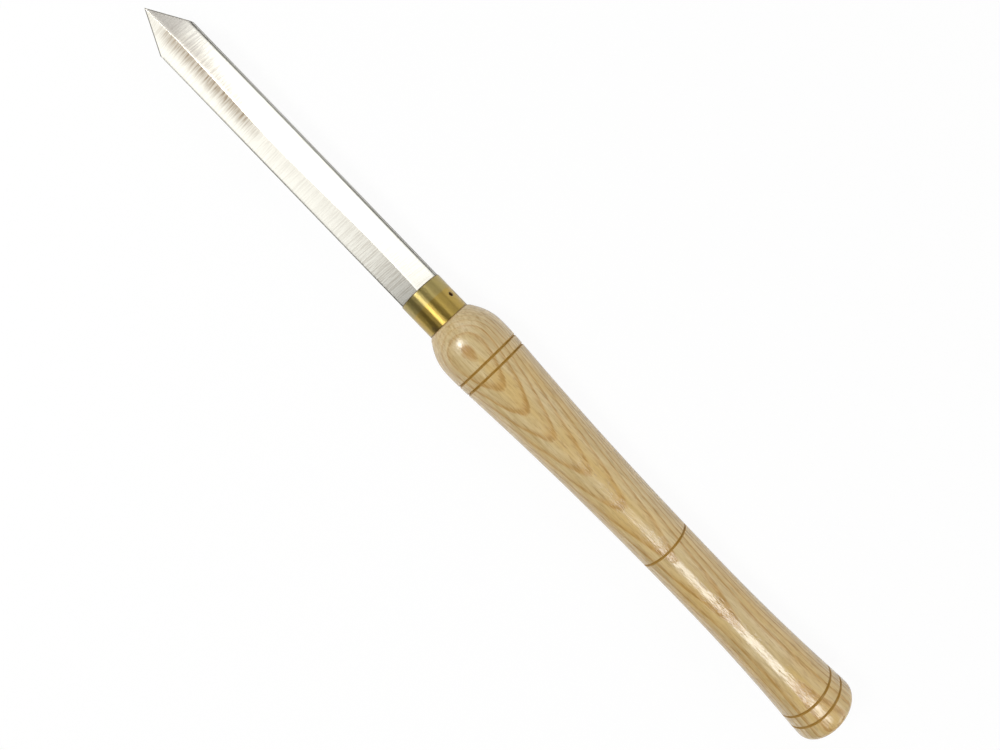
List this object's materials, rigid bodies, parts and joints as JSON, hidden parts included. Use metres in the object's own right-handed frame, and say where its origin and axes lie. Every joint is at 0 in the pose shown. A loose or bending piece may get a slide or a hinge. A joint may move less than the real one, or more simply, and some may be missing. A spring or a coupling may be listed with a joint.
{
  "type": "diamond parting tool",
  "caption": "Wood-turning parting tool: ground diamond-section steel blade with a spear point, staked brass ferrule and a turned, lacquered ash handle with burnt ring grooves.",
  "frame": {"origin": "on the tool's axis, at the handle's shoulder where the rear end of the ferrule seats", "axes": "+X along the tool's axis to the point, +Z square to the wide faces of the blade, +Y across the blade"},
  "size_m": [0.4074, 0.032, 0.032],
  "materials": {
    "steel": "bright, ground across its faces",
    "bedding": "set amber adhesive",
    "brass": "turned, with a satin front band",
    "ash": "clear gloss lacquer over burnt ring grooves"
  },
  "bodies": {
    "root": {"blade": "steel", "tang_bedding": "bedding", "ferrule": "brass", "handle": "ash"}
  },
  "joints": []
}
